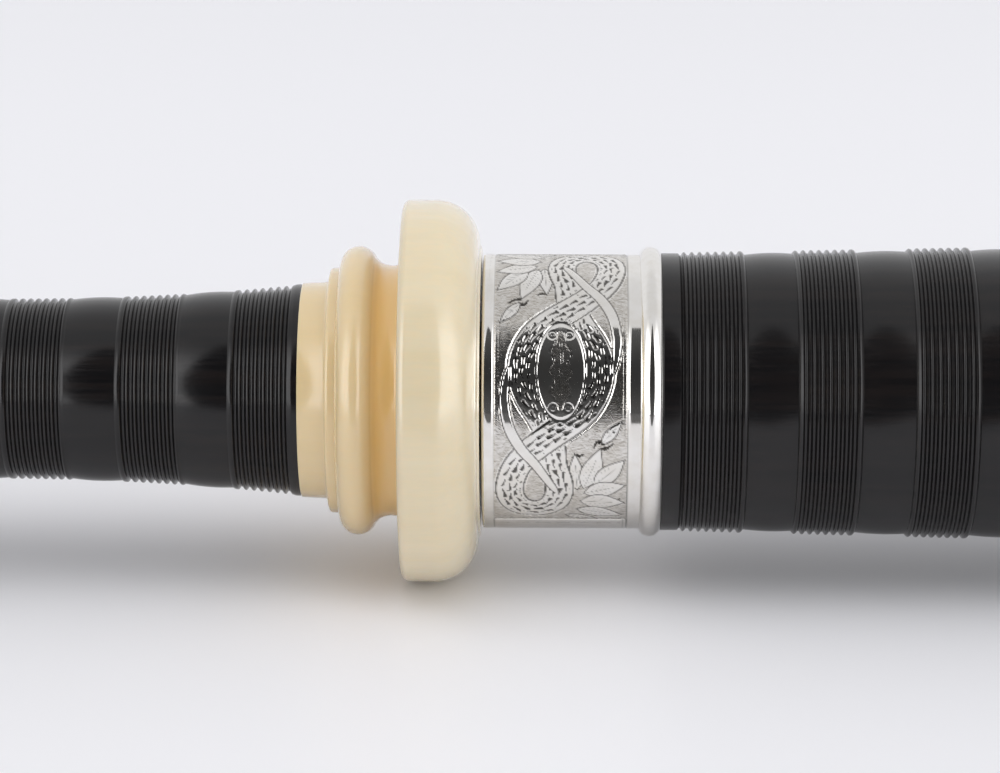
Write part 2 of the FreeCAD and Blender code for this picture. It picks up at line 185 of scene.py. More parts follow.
world = bpy.data.worlds.new("studio")
bpy.context.scene.world = world
g = Graph(world)
direction = g.node("TexCoord").outputs["Generated"]
x, y, z = g.node("SeparateXYZ", {"Vector": direction}).outputs
ahead = g.math("MAXIMUM", g.math("MULTIPLY", y, -1.0), 0.001)
sideways = g.math("DIVIDE", g.math("ABSOLUTE", x), ahead)
room = g.ramp(y, -0.40, -0.02, SCREEN, BACK)
room = g.blend(g.ramp(z, 0.62, 0.94), room, TOP)
high = g.math("DIVIDE", g.math("SUBTRACT", g.math("ARCSINE", z), GAP_MIDDLE), GAP_HALF)
off_middle = g.math("ABSOLUTE", high)
inside = g.math("MAXIMUM", g.math("SUBTRACT", 1.0, g.math("MULTIPLY", high, high)), 0.0)
reach = g.math("MULTIPLY", g.math("SQRT", inside), GAP_WIDE)
gap = g.ramp(g.math("SUBTRACT", sideways, reach), -0.06, 0.0, 1.0, 0.0)
shade = g.ramp(off_middle, 0.1, 0.9, DARK, 2.3 * DARK)
room = g.blend(gap, room, shade)
path = g.node("LightPath")
overhead = g.ramp(z, 0.05, 0.75, 0.32, 0.92)  # the cloth above gives more light than the horizon
evened = g.math("MULTIPLY", g.math("MINIMUM", room, 1.0), overhead)
level = g.blend(path.outputs["Is Diffuse Ray"], room, evened)
seen = g.blend(path.outputs["Is Camera Ray"], level, BACKDROP)
background = g.node("Background", {"Color": (0.985, 0.985, 1.0, 1), "Strength": seen})
g.tree.links.new(background.outputs[0], g.node("OutputWorld").inputs["Surface"])

# %% Lamps
def softbox(name, at, aim, size, energy):
    """A rectangular lamp that faces a point. It lights the object and isn't seen in the metal."""
    data = bpy.data.lights.new(name, "AREA")
    data.shape = "RECTANGLE"
    data.size, data.size_y = size
    data.energy = energy
    lamp = bpy.data.objects.new(name, data)
    bpy.context.scene.collection.objects.link(lamp)
    lamp.location = at
    lamp.rotation_euler = (Vector(aim) - Vector(at)).to_track_quat("-Z", "Y").to_euler()
    lamp.visible_glossy = False
    print(f"{name}: {energy} W over {size[0] * size[1]:.2f} m2")


softbox("overhead", (0.07, -0.18, 0.55), (0.21, 0.0, 0.0), (0.8, 0.34), 1.15)
softbox("right_screen", (0.85, -0.16, 0.22), (0.20, 0.0, 0.0), (0.5, 0.4), 1.4)
softbox("front_fill", (0.10, -0.55, 0.03), (0.19, 0.0, -0.01), (0.6, 0.10), 0.26)


# %% [markdown]
# ## The white table
#
# The table is a sheet of satin acrylic: it keeps a soft shadow under the drone and a blurred, weak
# reflection. It is a large flat grid at the height of the projecting mount's rim, 22 mm below the
# axis, and it isn't part of the object.

# %% Table
FLOOR = -22.02
DARK_REFLECTION_EDGE = -155.0  # where the painted dark reflection starts, in y; it runs on towards the front
OBJECT_X = 222.0  # the middle of that painted dark wedge, in x


def acrylic(g):
    x, y, _ = g.node("SeparateXYZ", {"Vector": g.place()}).outputs
    # painted light: the table is a little brighter towards the back, standing in for the light falling
    # off towards the front
    tone = g.ramp(y, -100.0, 250.0)
    colour = g.mix(tone, (0.885, 0.885, 0.915, 1), (0.925, 0.925, 0.96, 1))
    # painted reflection: glossy rays alone see a widening wedge of the table in front of that edge as
    # dark, so the metal shows dark under the camera's gap; every other ray sees the white table there
    ahead = g.math("MULTIPLY", g.math("ADD", y, -DARK_REFLECTION_EDGE), -1.0)
    half = g.math("ADD", g.math("MULTIPLY", ahead, 0.35), 22.0)
    off = g.math("ABSOLUTE", g.math("SUBTRACT", x, OBJECT_X))
    wedge = g.ramp(g.math("SUBTRACT", half, off), 0.0, 16.0)
    wedge = g.math("MULTIPLY", wedge, g.ramp(ahead, 0.0, 14.0))
    dark = g.math("MULTIPLY", wedge, g.node("LightPath").outputs["Is Glossy Ray"])
    colour = g.mix(dark, colour, (0.10, 0.10, 0.10, 1))
    g.surface(colour, 0.42, IOR=1.45, Specular_IOR_Level=0.25)


ends = np.array([-2.6, 3.0])
far_x, far_y = np.meshgrid(ends, ends, indexing="ij")
corners = np.stack([far_x, far_y, np.full_like(far_x, FLOOR * MM)], -1).reshape(-1, 3)
table_mesh = bpy.data.meshes.new("table")
table_mesh.from_pydata(corners.tolist(), [], [(0, 2, 3, 1)])
table = bpy.data.objects.new("table", table_mesh)
table_mesh.materials.append(finish_of("satin_acrylic", acrylic))
bpy.context.scene.collection.objects.link(table)


# %% [markdown]
# ## Profiles
#
# A turner works to a drawing of half the section. The same drawing serves here: a list of stations
# (x, r) joined by straight cuts, arcs and combed stretches. Curves could be drawn with Blender's
# splines and the Screw modifier. Arrays of stations are used because a comb, a barrel and a bead are
# then short formulas, and every point lands exactly where the formula says.

# %% Profile pieces
def run(*stations):
    """Straight cuts through the stations."""
    return np.array(stations, float)


def arc(start, middle, end, count=12):
    """Points on the circle through three stations, from the first to the last.

    The centre is where the perpendicular bisectors of the two chords meet. The angle then goes
    evenly from the start to the end, through the middle.
    """
    a, b, c = (np.array(p, float) for p in (start, middle, end))
    lean = 2.0 * np.array([b - a, c - b])
    centre = np.linalg.solve(lean, np.array([b @ b - a @ a, c @ c - b @ b]))
    angles = np.unwrap([math.atan2(*(p - centre)[::-1]) for p in (a, b, c)])
    t = np.linspace(0, 1, count)
    swept = angles[0] + (angles[2] - angles[0]) * t
    radius = np.linalg.norm(a - centre)
    return centre + radius * np.stack([np.cos(swept), np.sin(swept)], 1)


def spline(stations, count=40):
    """A smooth curve through the stations.

    Between two stations the curve is a cubic with the slopes of the chords beside them, which is
    the Catmull-Rom rule, worked out for all points at once.
    """
    p = np.array(stations, float)
    p = np.vstack([2 * p[0] - p[1], p, 2 * p[-1] - p[-2]])
    s = np.linspace(0, len(p) - 3 - 1e-9, count)
    k = s.astype(int)
    t = (s - k)[:, None]
    a, b, c, d = p[k], p[k + 1], p[k + 2], p[k + 3]
    square = (2 * a - 5 * b + 4 * c - d) * t**2
    return 0.5 * (2 * b + (c - a) * t + square + (3 * b - a - 3 * c + d) * t**3)


COMB_PITCH = 0.91
COMB_DEPTH = 0.38
CREST = np.array([-0.5, -0.35, -0.25, -0.16, -0.06, 0.06, 0.16, 0.25, 0.35])  # stations in one pitch
SHOULDER = 0.23  # where a ridge's round crown turns into the hollow of the groove


def comb_drop(s):
    """How far the surface lies under the ridge line, s being the way from a crown in pitches.

    The crown falls as the power 2.1 of s as far as SHOULDER, half the depth down. From there a
    hollow of the power 2.6 runs out at the groove's bottom, half a pitch from the crown.
    """
    s = np.abs(s)
    crown = 0.5 * (np.minimum(s, SHOULDER) / SHOULDER) ** 2.1
    hollow = 0.5 * (np.clip(0.5 - s, 0, None) / (0.5 - SHOULDER)) ** 2.6
    return COMB_DEPTH * np.where(s < SHOULDER, crown, 1.0 - hollow)


def comb(start, ridges, envelope, lean):
    """Rounded ridges side by side with hollow grooves between them, cut into the ridge line.

    Each crown stands lean pitches off the middle, as if the tool weren't quite square to the work.
    The shift fades as 1 - 4 s^2 to nothing at the grooves.
    """
    middle = start + (np.arange(ridges)[:, None] + 0.5) * COMB_PITCH
    shift = lean * (1.0 - 4.0 * CREST**2)
    x = np.append((middle + (CREST + shift) * COMB_PITCH).ravel(), start + ridges * COMB_PITCH)
    return np.stack([x, envelope(x) - comb_drop(np.append(np.tile(CREST, ridges), 0.5))], 1)


def brow(edge, step, envelope, deep):
    """The half ridge that turns a comb's last crown down to a barrel's start, deep under the line."""
    s = np.array([0.12, 0.2, 0.28, 0.36, 0.44])
    x = edge - step * COMB_PITCH * (0.5 - s)
    return np.stack([x, envelope(x) - deep * (s / 0.5) ** 2], 1)[::step]


def barrel(start, end, envelope, sinks, count=14):
    """A plain crowned stretch between two combs. sinks are its depths under the ridge line."""
    crown = start + 0.52 * (end - start)
    heights = [envelope(x) - s for x, s in zip((start, crown, end), sinks)]
    return arc((start, heights[0]), (crown, heights[1]), (end, heights[2]), count)


COMB_RIDGES = 8
COMB_WIDTH = COMB_RIDGES * COMB_PITCH
COMB_PERIOD = 13.08
SHORT_PERIOD = 12.8  # between the two combs nearest to the mount


def comb_row(starts, envelope, sinks, lean):
    """A comb at each start, with a barrel between each pair. Ridges beside a barrel have a brow."""
    pieces = []
    for k, start in enumerate(starts):
        teeth = comb(start, COMB_RIDGES, envelope, lean)
        end = start + COMB_WIDTH
        if k > 0:
            first = brow(start, -1, envelope, sinks[2])
            teeth = np.vstack([first, teeth[teeth[:, 0] > start + 0.5 * COMB_PITCH]])
        if k < len(starts) - 1:
            last = brow(end, 1, envelope, sinks[0])
            teeth = np.vstack([teeth[teeth[:, 0] < end - 0.5 * COMB_PITCH], last])
        pieces.append(teeth)
        if k < len(starts) - 1:
            pieces.append(barrel(end, starts[k + 1], envelope, sinks))
    return np.vstack(pieces)


# %% [markdown]
# ## Turning a profile into a mesh
#
# Blender's Spin or Screw would do, but both leave a seam to merge. A grid of points that wraps round
# in both directions has no seam at all: one direction goes round the axis, and the other goes along
# the outside, over the end, and back through the bore. Sharp edges are marked by angle, so beads
# shade softly and shoulders stay crisp.

# %% Turning
def grid_mesh(name, points):
    """A mesh from an (m, n, 3) grid of points in millimetres, with four-sided faces.

    The first index runs along the profile and the second round the axis. Both wrap.
    """
    m, n = points.shape[:2]
    i, j = np.meshgrid(np.arange(m), np.arange(n), indexing="ij")
    after_i, after_j = (i + 1) % m, (j + 1) % n
    faces = np.stack([i * n + j, i * n + after_j, after_i * n + after_j, after_i * n + j], -1)
    faces = faces.reshape(-1, 4)
    mesh = bpy.data.meshes.new(name)
    mesh.vertices.add(m * n)
    mesh.vertices.foreach_set("co", (points.reshape(-1) * MM).astype(np.float32))
    mesh.loops.add(faces.size)
    mesh.loops.foreach_set("vertex_index", faces.ravel().astype(np.int32))
    mesh.polygons.add(len(faces))
    mesh.polygons.foreach_set("loop_start", np.arange(0, faces.size, 4, dtype=np.int32))
    mesh.update(calc_edges=True)
    mesh.validate()
    mesh.shade_smooth()
    return mesh


def around(profile, n):
    """An (m, n, 3) grid: each station (x, r) carried round the X axis in n steps."""
    x, r = profile[:, 0, None], profile[:, 1, None]
    turn = np.linspace(0, 2 * np.pi, n, endpoint=False)[None, :]
    return np.stack([x + 0 * turn, r * np.cos(turn), r * np.sin(turn)], -1)


def tidy(profile, closest=0.004):
    """The profile without stations that nearly coincide with the one before, the last included."""
    step = np.linalg.norm(profile - np.roll(profile, 1, axis=0), axis=1)
    return profile[step > closest]


def place(name, mesh, material, body, node, crisp=38):
    """Puts a mesh into the scene as a piece that rides on a body and stands for a CAD node."""
    mesh.set_sharp_from_angle(angle=math.radians(crisp))
    mesh.materials.append(material)
    piece = bpy.data.objects.new(name, mesh)
    bpy.context.scene.collection.objects.link(piece)
    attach(piece, body)
    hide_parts(node)
    print(f"{name}: {2 * len(mesh.polygons)} triangles")


def turned(name, outline, material, body, node, n=96, crisp=38):
    """A turned piece. outline lists profile stretches, out along the outside and back inside."""
    profile = tidy(np.vstack(outline))
    place(name, grid_mesh(name, around(profile, n)), material, body, node, crisp)


# %% [markdown]
# ## Black wood
#
# African blackwood is so dense that a lathe tool leaves it almost polished. Its colour is a brown
# that is nearly black, with faint streaks along the grain, and most of what the eye sees is the
# room's reflection, softened by fine pores. So the colour varies little, and the roughness and a
# very fine bump, both stretched along X, do the work.

# %% Blackwood
def blackwood(g):
    grain = g.noise(g.place((0.035, 0.9, 0.9)), 1.0, 6.0, 0.62)
    streak = g.noise(g.place((0.12, 3.5, 3.5)), 1.0, 4.0, 0.6)
    pores = g.noise(g.place((0.45, 9.0, 9.0)), 1.0, 2.0, 0.5)
    black, brown = (0.0036, 0.0034, 0.0038, 1), (0.0078, 0.0062, 0.0060, 1)
    warm = g.mix(g.ramp(grain, 0.38, 0.68), black, brown)
    colour = g.mix(g.ramp(streak, 0.60, 0.78, 0.0, 0.6), warm, (0.013, 0.0095, 0.0085, 1))
    rough = g.ramp(streak, 0.25, 0.75, 0.13, 0.25, smooth=False)
    pit = g.ramp(pores, 0.30, 0.46)
    normal = g.bump(pit, 0.004, 0.4)
    g.surface(colour, rough, Normal=g.bump(streak, 0.006, 0.3, normal), IOR=1.44)


wood = finish_of("blackwood", blackwood)


# %% [markdown]
# ## Imitation ivory
#
# The projecting mount, the ring cap and the bush are cast resin, polished after turning. Light goes
# a little way into it, which a small share of subsurface scattering gives, and very faint bands of
# deeper cream follow the casting's flow along X.

# %% Ivory
def imitation_ivory(g):
    flow = g.noise(g.place((0.05, 0.35, 0.35)), 1.0, 3.0, 0.5)
    fine = g.noise(g.place((0.35, 2.5, 2.5)), 1.0, 3.0, 0.6)
    colour = g.mix(g.ramp(flow, 0.35, 0.68), (0.70, 0.613, 0.432, 1), (0.685, 0.588, 0.397, 1))
    colour = g.mix(g.ramp(fine, 0.35, 0.75, 0.0, 0.35), colour, (0.78, 0.615, 0.37, 1))
    # painted shade: the cove is painted a deeper yellow, standing in for light bounced round its
    # hollow; the bead, step and collar to its left are a milder deeper yellow
    x = g.node("SeparateXYZ", {"Vector": g.place()}).outputs[0]
    hollow = g.math("MULTIPLY", g.ramp(x, 194.8, 196.6), g.ramp(x, 199.0, 198.6, 0.0, 1.0))
    stem = g.ramp(x, 198.9, 196.0, 0.0, 0.42)
    deep = g.math("MAXIMUM", hollow, stem)
    colour = g.mix(deep, colour, (0.80, 0.545, 0.215, 1))
    polish = g.noise(g.place((1, 1, 1)), 0.6, 4.0, 0.6)
    rough = g.ramp(polish, 0.3, 0.7, 0.19, 0.27, smooth=False)
    rub = g.noise(g.place((1.4, 14.0, 14.0)), 1.0, 1.0, 0.5)
    g.surface(
        colour,
        rough,
        IOR=1.5,
        Coat_Weight=1.0,
        Coat_Roughness=0.16,
        Subsurface_Weight=0.25,
        Subsurface_Radius=(1.0, 0.6, 0.3),
        Subsurface_Scale=0.0012,
        Normal=g.bump(rub, 0.0015, 0.25),
    )


ivory = finish_of("imitation_ivory", imitation_ivory)


# %% [markdown]
# ## Silver
#
# The bands and beads are polished silver with hair-fine rubbing marks round them. Silver is a metal,
# so its colour tints the reflection. It is slightly warm, and not fully bright, because a used
# surface carries a thin tarnish.

# %% Silver
def clean_silver(g):
    """(colour, rubbing marks, normal) of silver before any engraving."""
    rub = g.noise(g.place((16.0, 1.1, 1.1)), 1.0, 2.0, 0.6)
    cloud = g.noise(g.place((0.5, 0.5, 0.5)), 1.0, 3.0, 0.6)
    colour = g.mix(g.ramp(cloud, 0.35, 0.7), (0.885, 0.868, 0.838, 1), (0.835, 0.81, 0.765, 1))
    return colour, rub, g.bump(rub, 0.0012, 0.35)


def polished_silver(g):
    colour, rub, normal = clean_silver(g)
    rough = g.ramp(rub, 0.3, 0.8, 0.045, 0.11, smooth=False)
    g.surface(colour, rough, Metallic=1.0, Normal=normal)


silver = finish_of("polished_silver", polished_silver)


# %% [markdown]
# ## Upper section
#
# The upper section is one long turning: ten combs with nine barrels between them, a cord bead and
# groove, and the pear-shaped bell. Its inside is the tuning chamber, the bore and the bell's cavity.

# %% Top wood
def top_ridges(x):
    """The ridge line of the top section widens evenly towards the bell."""
    return 16.03 + 0.0208 * (x - 228.8)


TOP_SINKS = (0.42, 0.25, 0.38)
TOP_LEAN, LOWER_LEAN = -0.10, 0.10
foot = 228.55  # where the ferrule ends
comb_start = foot + 2.25
top_starts = [comb_start] + [comb_start + SHORT_PERIOD + k * COMB_PERIOD for k in range(9)]
comb_end = top_starts[-1] + COMB_WIDTH
shoulder = float(top_ridges(comb_end)) - 0.2
land = float(top_ridges(foot)) - 0.08
land_end = comb_start - 0.4 * COMB_PITCH
top_outline = [
    run((208.3, 8.25), (208.3, 14.9), (foot, 14.9), (foot, land - 0.1)),
    arc((foot, land - 0.1), (foot + 0.03, land - 0.03), (foot + 0.1, land), 5),
    run((foot + 0.18, land), (foot + 0.6, land), (land_end - 0.1, land)),
    run((land_end + 0.1, land - 0.03), (land_end + 0.19, land - 0.14), (land_end + 0.26, land - 0.22)),
    comb_row(top_starts, top_ridges, TOP_SINKS, TOP_LEAN),
    run((comb_end + 0.02, shoulder - 0.15), (comb_end + 0.1, shoulder)),
    arc((comb_end + 0.1, shoulder), (357.4, shoulder + 0.1), (358.8, shoulder + 0.6)),
    run((359.1, shoulder + 0.1)),
    arc((359.1, shoulder + 0.1), (363.6, 20.8), (368.0, 17.4), 24),
    run((368.2, 16.6)),
    arc((368.2, 16.6), (368.5, 15.4), (369.0, 14.6)),
    run((369.0, 14.6), (375.0, 14.6)),
    arc((375.0, 14.6), (375.6, 15.5), (376.4, 16.2)),
    arc((376.4, 16.2), (377.3, 17.0), (378.4, 16.4)),
    run((378.6, 15.9)),
    arc((378.6, 15.9), (387.0, 18.3), (394.5, 19.8), 24),
    arc((394.5, 19.8), (399.0, 20.0), (403.0, 19.4), 16),
    run((403.0, 17.0), (413.5, 17.0), (413.5, 11.0), (388.0, 11.0)),
    arc((388.0, 11.0), (386.6, 10.4), (386.0, 9.0)),
    run((386.0, 6.6), (283.2, 6.6), (282.2, 8.25)),
]
turned("top_wood", top_outline, wood, "top_section", "top_body")

# %% [markdown]
# ## Lower section
#
# The lower section has a shoulder that meets the stock, six combs on a waist that flares towards the
# mount, the spigot that carries the mount, and the long tuning pin with a turned recess for hemp.

# %% Lower wood
MOUNT_START = 187.38


def lower_ridges(x):
    """The ridge line of the lower section: a waist that flares at both ends."""
    to_mount = np.maximum(0.0, (x - 150.0) / (MOUNT_START - 150.0)) ** 2.2
    to_stock = np.maximum(0.0, (118.0 - x) / 18.0) ** 2
    return 10.4 + 1.8 * to_mount + 1.1 * to_stock


LOWER_SINKS = (0.18, 0.0, 0.17)
last_comb = MOUNT_START - 0.66 - COMB_WIDTH
first_comb = last_comb - SHORT_PERIOD - 4 * COMB_PERIOD
lower_starts = [first_comb + k * COMB_PERIOD for k in range(5)] + [last_comb]
lower_land = last_comb + COMB_WIDTH
cove = float(lower_ridges(first_comb)) - 0.3
lower_outline = [
    run((60.0, 4.3), (60.0, 7.1), (60.6, 7.7), (63.0, 7.7), (63.0, 6.7), (88.0, 6.7), (88.0, 7.7)),
    run((92.2, 7.7), (92.2, 14.1)),
    arc((92.2, 14.1), (92.35, 14.45), (92.7, 14.6), 6),
    run((95.4, 14.6), (95.6, 13.8)),
    arc((95.6, 13.8), (97.4, 14.5), (99.2, 13.2), 16),
    arc((99.2, 13.2), (102.2, cove - 0.1), (first_comb - 0.02, cove), 24),
    comb_row(lower_starts, lower_ridges, LOWER_SINKS, LOWER_LEAN)[:-4],
    run((lower_land - 0.12, 12.17), (lower_land + 0.1, 12.2), (187.3, 12.2), (MOUNT_START, 12.2)),
    run((MOUNT_START, 9.0), (207.6, 9.0), (207.6, 8.0), (248.0, 8.0)),
    run((248.0, 7.2), (267.0, 7.2), (267.0, 8.0), (269.4, 8.0), (270.0, 7.4), (270.0, 4.0)),
    run((71.5, 4.0), (71.2, 4.3)),
]
turned("lower_wood", lower_outline, wood, "lower_section", "lower_body")

# %% [markdown]
# ## Projecting mount
#
# The mount guards the joint: a collar, a small step, a bead, a cove and the wide rim. The rim has a
# nearly square edge towards the bag and a quarter-round towards the bell.

# %% Projecting mount
RIM = 22.0  # radius of the wide rim
CORNER = 0.7
ROUND = 5.05
quarter = np.linspace(0, np.pi / 2, 26)
rim_round = np.stack(
    [202.7 + ROUND * np.sin(quarter), RIM - ROUND + ROUND * np.cos(quarter)], 1
)
mount_outline = [
    run((MOUNT_START, 9.0), (MOUNT_START, 12.3), (187.44, 12.36), (190.1, 12.5), (190.35, 12.62)),
    arc((190.35, 12.62), (190.5, 12.8), (190.56, 13.3), 6),
    arc((190.56, 13.7), (190.68, 14.0), (191.0, 14.12), 8),
    run((191.0, 14.12), (191.75, 14.15)),
    arc((191.78, 14.2), (193.85, 16.65), (195.85, 15.3), 30),
    spline([(195.85, 15.3), (196.5, 14.72), (197.5, 14.45), (198.4, 14.52), (198.68, 14.62)], 24),
    run((198.74, 14.9), (198.82, 18.0)),
    run((198.92, RIM - CORNER - 0.1)),
    arc((198.94, RIM - CORNER), (199.2, 21.75), (199.9, RIM), 10),
    run((199.9, RIM), (201.3, RIM)),
    rim_round,
    run((207.95, 16.6), (208.0, 16.4), (208.0, 15.6), (208.0, 9.0)),
]
turned("mount", mount_outline, ivory, "lower_section", "projecting_mount", 160)

# %% [markdown]
# ## Silver ferrules
#
# Each ferrule is a tube whose middle 15 mm is cut by hand with a graver. The plate is drawn flat
# first, as an engraver draws it: u runs along the drone and v round it. Two strands filled with
# scales weave into a knot of three loops, the middle loop frames a leaf on burnished ground, sprays
# fill two corners, and the rest is matted with a punch. A texture could hold the drawing, but then
# the cuts would catch no light of their own. So the drawing is a depth map, worked out on the same
# grid as the tube's surface, and the surface really is cut.

# %% The knot
BAND = 3.25  # width of a strand
PLATE = (7.5, 20.9)  # half width and half length of an engraved plate


def knot_line(t):
    """Centre line of the knot: one closed curve with three loops, turned half round on itself.

    The middle loop is the widest. The end loops are narrower and lean to opposite sides.
    """
    v = 15.0 * np.cos(t) + 3.2 * np.cos(t) ** 5
    outward = np.clip((np.abs(v) - 4.0) / 8.0, 0.0, 1.0)
    outward = outward**2 * (3 - 2 * outward)
    return (4.4 - 1.6 * outward) * np.sin(3 * t) + 2.9 * np.sign(v) * outward, v


def strand_fields(u, v, low, high, steps=260):
    """Distance across and along the stretch of strand between two values of t, for each point.

    The nearest of the points along the centre line is found for each grid point. Across is signed by
    the cross product with the line's direction. Points nearest to an end of the stretch are outside.
    """
    t = np.linspace(low, high, steps)
    cu, cv = knot_line(t)
    du, dv = np.gradient(cu), np.gradient(cv)
    length = np.concatenate([[0], np.cumsum(np.hypot(np.diff(cu), np.diff(cv)))])
    flat_u, flat_v = u.ravel(), v.ravel()
    nearest = np.empty(flat_u.size, int)
    for part in np.array_split(np.arange(flat_u.size), 24):
        gap = (flat_u[part, None] - cu) ** 2 + (flat_v[part, None] - cv) ** 2
        nearest[part] = np.argmin(gap, axis=1)
    ahead = np.hypot(du, dv)[nearest]
    off_u, off_v = flat_u - cu[nearest], flat_v - cv[nearest]
    across = (du[nearest] * off_v - dv[nearest] * off_u) / ahead
    along = length[nearest] + (du[nearest] * off_u + dv[nearest] * off_v) / ahead
    inside = (nearest > 0) & (nearest < steps - 1)
    shape = u.shape
    return across.reshape(shape), along.reshape(shape), inside.reshape(shape)


def groove(distance, width, depth):
    """A V cut: deepest where distance is 0 and gone at half the width."""
    return depth * np.clip(1.0 - np.abs(distance) / (0.5 * width), 0.0, 1.0)


def speckle(a, b):
    """A number from 0 to 1 for each whole-number pair, the same on every run."""
    return np.modf(np.abs(np.sin(a * 12.9898 + b * 78.233) * 43758.5453))[0]


def scales(across, along, row=1.42, width=0.70):
    """(cuts, stain) of files of wedge cuts along a strand, like the scales of a fish.

    In its own cell a cut is a short bow, wide at one end and running out to nothing at the other,
    and some carry a second, finer cut that leaves it like a twig. Their lean, length and place
    change from cell to cell, as handwork does. The darkening of a wedge spares its near wall: it is
    tarnish in the cut plus painted shade, so that one wall reads as lit and the other as shaded.
    """
    file = np.floor(across / width + 0.5)
    q = across / width + 0.5 - file
    place_along = along / row + 0.5 * np.mod(file, 2) + 0.3 * speckle(file, 3.0)
    rank = np.floor(place_along)
    p = place_along - rank
    change = speckle(rank, file)
    lean = 1.0 * (speckle(rank + 3.0, file + 5.0) - 0.5)
    bow = 0.5 + 0.2 * (change - 0.5) + lean * (p - 0.5) + 0.6 * (p - 0.5) ** 2
    half = (0.05 + 0.42 * np.clip(1 - 1.1 * p, 0, 1)) * (0.6 + 0.7 * speckle(file, rank + 7.0))
    ends = np.clip((0.97 - p) / 0.12, 0.0, 1.0) * np.clip((p - 0.15 * change) / 0.08, 0.0, 1.0)
    wedge = np.clip(1.25 * (1.0 - np.abs(q - bow) / half), 0.0, 1.0) * ends
    fork = np.clip(1.0 - np.abs(q - bow - 0.6 * (p - 0.15) * np.sign(change - 0.6)) / 0.09, 0.0, 1.0)
    fork = 0.5 * fork * (p > 0.15) * (p < 0.8) * (change > 0.35)
    # painted shade: the darkening stops short of the near wall, which is left lit
    far = np.clip((q - bow) / half / 0.25 + 2.9, 0.0, 1.0)
    return 0.08 * np.maximum(wedge, fork), np.clip(6.0 * wedge, 0.0, 1.0) * far


# %% Leaves and plate
def leaflet(u, v, root, tip, fat):
    """(inside, cuts) of one leaf of a spray: a pointed oval with a mid line and short side cuts."""
    root, tip = np.array(root), np.array(tip)
    axis = tip - root
    long = np.hypot(*axis)
    a = ((u - root[0]) * axis[0] + (v - root[1]) * axis[1]) / long**2
    c = ((u - root[0]) * axis[1] - (v - root[1]) * axis[0]) / long
    half = fat * np.clip(np.sin(np.pi * np.clip(a, 0, 1) ** 0.8), 0, 1) + 1e-6
    inside = (a > 0) & (a < 1) & (np.abs(c) < half)
    edge = groove(np.abs(c) - half, 0.26, 0.10) * ((a > -0.02) & (a < 1.02))
    mid = groove(c, 0.20, 0.06) * ((a > 0.02) & (a < 0.72))
    veins = groove(np.mod(a * long * 1.0 - 0.8 * np.abs(c), 0.55) - 0.27, 0.20, 0.05)
    veins = veins * (inside & (np.abs(c) < 0.7 * half) & (a > 0.12) & (a < 0.62))
    return inside, np.maximum(edge, np.maximum(mid * inside, veins))


SPRAY = [  # roots, tips and half widths, in the corner at the right below the knot's middle loop
    ((1.9, -14.6), (1.6, -9.6), 0.85),
    ((2.6, -14.4), (4.5, -8.9), 1.15),
    ((3.8, -14.0), (7.2, -10.4), 1.10),
    ((2.7, -15.2), (7.3, -13.9), 1.15),
    ((2.3, -16.6), (7.2, -16.9), 1.25),
    ((1.9, -18.2), (7.0, -19.6), 1.00),
    ((0.6, -19.6), (4.2, -20.6), 0.50),
    ((4.6, -8.4), (6.9, -5.6), 0.60),
]
TENDRIL = [
    (0.3, 15.2), (0.9, 14.2), (2.7, 11.2), (4.5, 8.9),
    (5.75, 6.5), (6.3, 3.7), (6.15, 1.2), (5.8, -0.6),
]
STROKES = [
    ([(-6.7, 11.7), (-5.4, 11.75), (-4.1, 12.5), (-3.0, 14.1)], 0.20),
    ([(-6.0, 8.3), (-5.3, 8.8), (-4.6, 9.0), (-4.0, 9.6)], 0.17),
    ([(-5.2, 7.7), (-4.6, 8.1), (-4.1, 8.2), (-3.7, 8.8)], 0.20),
    ([(-2.7, 9.6), (-2.2, 9.85), (-1.8, 9.8), (-1.3, 10.1)], 0.16),
    ([(-6.8, 16.0), (-6.0, 16.9), (-5.0, 17.1), (-4.2, 18.2)], 0.14),
    ([(-4.6, 15.0), (-4.0, 15.9), (-3.4, 16.1), (-2.9, 17.2)], 0.14),
]
EYE = (2.75, 5.6)  # half width and half length of the middle loop's opening
BERRY = 0.46  # radius of the four round berries in it


def ribbon(u, v, path, fat):
    """(inside, cuts) of a plain band along a path of stations, pointed at both ends.

    The path is the smooth curve through its stations, and each point takes the nearest point on it.
    """
    line = spline(path, 160)
    gap = (u.ravel()[:, None] - line[:, 0]) ** 2 + (v.ravel()[:, None] - line[:, 1]) ** 2
    nearest = np.argmin(gap, axis=1)
    off = np.sqrt(gap[np.arange(len(gap)), nearest]).reshape(u.shape)
    t = (nearest / 159.0).reshape(u.shape)
    half = fat * np.clip(np.sin(np.pi * np.clip(t, 0.004, 0.996)), 0, 1) ** 0.45
    return off < half, groove(off - half, 0.24, 0.10) * (half > 0.12)


def leaf_medallion(u, v):
    """(inside, cuts) of an oak-like leaf whose edge is four soft lobes a side."""
    lobes = 0.80 + 0.20 * np.cos(2.75 * v + 0.5 + 0.4 * np.sign(u))
    half = 1.35 * np.sqrt(np.clip(1 - (v / 4.5) ** 2, 0, 1)) * lobes
    inside = np.abs(u) < half
    broken = np.sin(7.0 * v + 2.0 * np.sign(u)) > -0.6
    edge = groove(np.abs(u) - half, 0.17, 0.07) * (np.abs(v) < 4.5) * broken
    vein = groove(u - 0.12 * np.sin(1.1 * v), 0.15, 0.05) * (np.abs(v) < 3.6)
    return inside, np.maximum(edge, np.where(inside, vein, 0.0))


